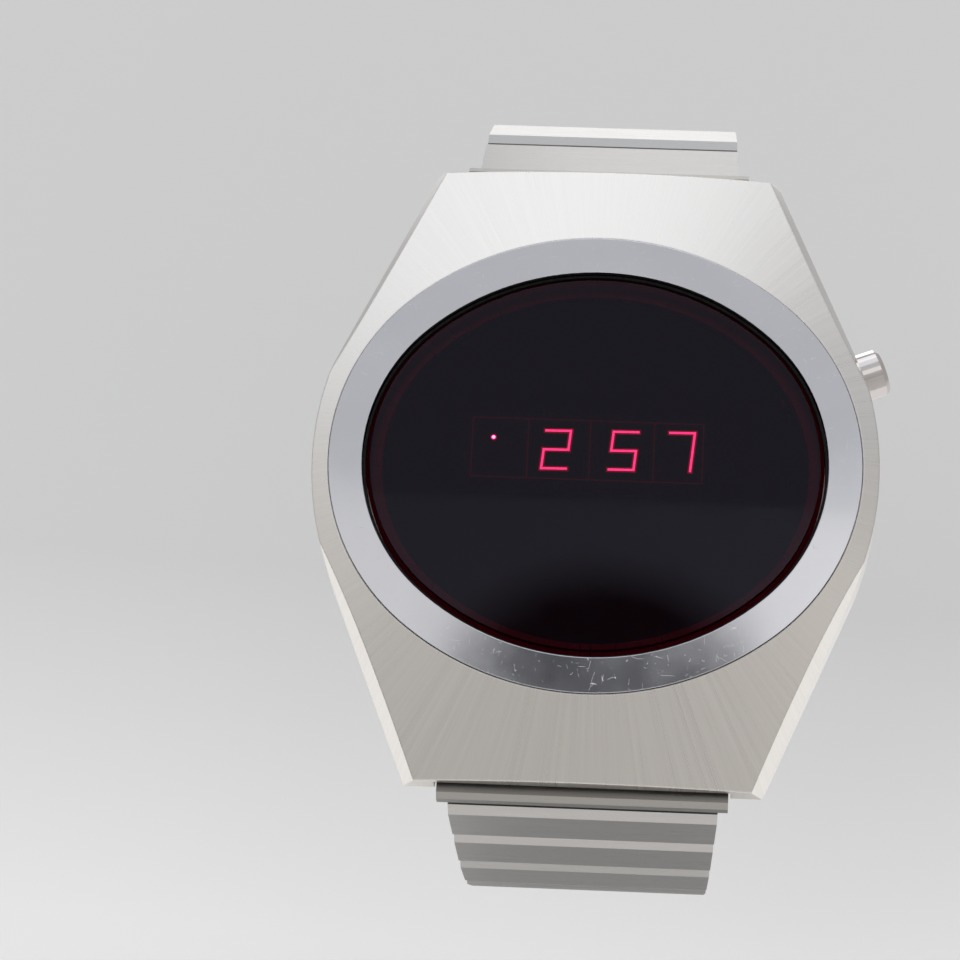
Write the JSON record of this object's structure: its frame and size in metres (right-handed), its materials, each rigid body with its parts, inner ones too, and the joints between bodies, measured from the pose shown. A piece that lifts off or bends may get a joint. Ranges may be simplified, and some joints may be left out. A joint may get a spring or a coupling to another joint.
{
  "type": "led watch",
  "caption": "Wristwatch with a red light-emitting display behind dark filter glass, a side pusher and a hinged bar-link bracelet with a fold-over clasp.",
  "frame": {"origin": "centre of the case back's outer face, where the watch rests on the wrist", "axes": "+Z leaves the watch's face, +Y points to 12 o'clock, +X points to 3 o'clock"},
  "size_m": [0.04, 0.0572, 0.0465],
  "materials": {
    "case_steel": "radially brushed face, polished bevels",
    "polished_ring": "polished, finely scratched",
    "filter_glass": "polished dark red filter glass",
    "black_rubber": "moulded",
    "frame_plastic": "moulded",
    "board_resin": "laminate",
    "display_plastic": "clear red over a dark carrier",
    "chip_resin": "moulded",
    "bright_steel": "plated",
    "trimmer_ceramic": "ceramic",
    "cell_steel": "satin",
    "contact_brass": "sprung brass strip",
    "back_steel": "circularly brushed",
    "pusher_steel": "polished",
    "bar_steel": "satin",
    "pin_steel": "satin",
    "link_steel": "lengthwise brushed",
    "blade_steel": "satin",
    "cover_steel": "lengthwise brushed"
  },
  "bodies": {
    "head": {"mid_case": "case_steel", "bezel_ring": "polished_ring", "crystal": "filter_glass", "crystal_gasket": "black_rubber", "module_frame": "frame_plastic", "circuit_board": "board_resin", "led_display": "display_plastic", "controller_chip": "chip_resin", "quartz_can": "bright_steel", "trimmer": "trimmer_ceramic", "battery_cells": "cell_steel", "battery_strap": "contact_brass", "contact_leaf": "contact_brass", "module_screws": "bright_steel", "case_back": "back_steel", "case_back_gasket": "black_rubber", "spring_bar_12": "bar_steel", "spring_bar_6": "bar_steel", "pusher_spring": "bright_steel"},
    "pusher": {"pusher": "pusher_steel", "pusher_seal": "black_rubber", "pusher_clip": "bright_steel"},
    "end_link_12": {"end_link_12": "link_steel", "link_pin_12_1": "pin_steel"},
    "link_12_1": {"link_12_1": "link_steel", "link_pin_12_2": "pin_steel"},
    "link_12_2": {"link_12_2": "link_steel", "link_pin_12_3": "pin_steel"},
    "link_12_3": {"link_12_3": "link_steel", "link_pin_12_4": "pin_steel"},
    "link_12_4": {"link_12_4": "link_steel", "link_pin_12_5": "pin_steel"},
    "link_12_5": {"link_12_5": "link_steel", "link_pin_12_6": "pin_steel"},
    "link_12_6": {"link_12_6": "link_steel", "link_pin_12_7": "pin_steel"},
    "link_12_7": {"link_12_7": "link_steel", "clasp_spring_bar": "bar_steel"},
    "end_link_6": {"end_link_6": "link_steel", "link_pin_6_1": "pin_steel"},
    "link_6_1": {"link_6_1": "link_steel", "link_pin_6_2": "pin_steel"},
    "link_6_2": {"link_6_2": "link_steel", "link_pin_6_3": "pin_steel"},
    "link_6_3": {"link_6_3": "link_steel", "link_pin_6_4": "pin_steel"},
    "link_6_4": {"link_6_4": "link_steel", "link_pin_6_5": "pin_steel"},
    "link_6_5": {"link_6_5": "link_steel", "link_pin_6_6": "pin_steel"},
    "link_6_6": {"link_6_6": "link_steel", "link_pin_6_7": "pin_steel"},
    "link_6_7": {"link_6_7": "link_steel", "clasp_pin_inner": "pin_steel"},
    "clasp_inner_blade": {"clasp_inner_blade": "blade_steel", "clasp_pin_fold": "pin_steel"},
    "clasp_centre_blade": {"clasp_centre_blade": "blade_steel"},
    "clasp_cover": {"clasp_cover": "cover_steel", "clasp_pin_cover": "pin_steel"}
  },
  "joints": [
    {"name": "pusher_press", "type": "slide", "parent": "head", "child": "pusher", "axis": [-0.9317, -0.3633, 0], "range_m": [0, 0.0007], "stiffness_N_per_m": 1200, "springref_m": -0.0006, "deforming": ["pusher_spring"]},
    {"name": "end_tilt_12", "type": "hinge", "parent": "head", "child": "end_link_12", "pos_m": [0, 0.0194, 0.0039], "axis": [1, 0, 0], "range_deg": [0, 10]},
    {"name": "link_turn_12_1", "type": "hinge", "parent": "end_link_12", "child": "link_12_1", "pos_m": [0, 0.022, 0.0029], "axis": [1, 0, 0], "range_deg": [0, 20]},
    {"name": "link_turn_12_2", "type": "hinge", "parent": "link_12_1", "child": "link_12_2", "pos_m": [0, 0.02644, -0.00083], "axis": [1, 0, 0], "range_deg": [0, 26]},
    {"name": "link_turn_12_3", "type": "hinge", "parent": "link_12_2", "child": "link_12_3", "pos_m": [0, 0.02952, -0.00575], "axis": [1, 0, 0], "range_deg": [0, 26]},
    {"name": "link_turn_12_4", "type": "hinge", "parent": "link_12_3", "child": "link_12_4", "pos_m": [0, 0.03082, -0.0114], "axis": [1, 0, 0], "range_deg": [0, 23]},
    {"name": "link_turn_12_5", "type": "hinge", "parent": "link_12_4", "child": "link_12_5", "pos_m": [0, 0.03062, -0.01719], "axis": [1, 0, 0], "range_deg": [0, 20]},
    {"name": "link_turn_12_6", "type": "hinge", "parent": "link_12_5", "child": "link_12_6", "pos_m": [0, 0.02912, -0.0228], "axis": [1, 0, 0], "range_deg": [0, 20]},
    {"name": "link_turn_12_7", "type": "hinge", "parent": "link_12_6", "child": "link_12_7", "pos_m": [0, 0.02631, -0.02787], "axis": [1, 0, 0], "range_deg": [0, 22]},
    {"name": "end_tilt_6", "type": "hinge", "parent": "head", "child": "end_link_6", "pos_m": [0, -0.0194, 0.0039], "axis": [-1, 0, 0], "range_deg": [0, 10]},
    {"name": "link_turn_6_1", "type": "hinge", "parent": "end_link_6", "child": "link_6_1", "pos_m": [0, -0.022, 0.0029], "axis": [-1, 0, 0], "range_deg": [0, 62]},
    {"name": "link_turn_6_2", "type": "hinge", "parent": "link_6_1", "child": "link_6_2", "pos_m": [0, -0.02271, -0.00286], "axis": [-1, 0, 0], "range_deg": [0, 7]},
    {"name": "link_turn_6_3", "type": "hinge", "parent": "link_6_2", "child": "link_6_3", "pos_m": [0, -0.02331, -0.00863], "axis": [-1, 0, 0], "range_deg": [0, 12]},
    {"name": "link_turn_6_4", "type": "hinge", "parent": "link_6_3", "child": "link_6_4", "pos_m": [0, -0.02341, -0.01442], "axis": [-1, 0, 0], "range_deg": [0, 18]},
    {"name": "link_turn_6_5", "type": "hinge", "parent": "link_6_4", "child": "link_6_5", "pos_m": [0, -0.02241, -0.02014], "axis": [-1, 0, 0], "range_deg": [0, 18]},
    {"name": "link_turn_6_6", "type": "hinge", "parent": "link_6_5", "child": "link_6_6", "pos_m": [0, -0.02023, -0.02551], "axis": [-1, 0, 0], "range_deg": [0, 20]},
    {"name": "link_turn_6_7", "type": "hinge", "parent": "link_6_6", "child": "link_6_7", "pos_m": [0, -0.01683, -0.03021], "axis": [-1, 0, 0], "range_deg": [0, 20]},
    {"name": "clasp_swing", "type": "hinge", "parent": "link_6_7", "child": "clasp_inner_blade", "pos_m": [0, -0.01232, -0.03386], "axis": [-1, 0, 0], "range_deg": [0, 47]},
    {"name": "clasp_fold", "type": "hinge", "parent": "clasp_inner_blade", "child": "clasp_centre_blade", "pos_m": [0, 0.01774, -0.0331], "axis": [1, 0, 0], "range_deg": [0, 150]},
    {"name": "cover_fold", "type": "hinge", "parent": "clasp_centre_blade", "child": "clasp_cover", "pos_m": [0, -0.01046, -0.03524], "axis": [-1, 0, 0], "range_deg": [0, 150]}
  ],
  "couplings": [
    {"joint": "cover_fold", "follows": "clasp_fold", "ratio": 1}
  ]
}
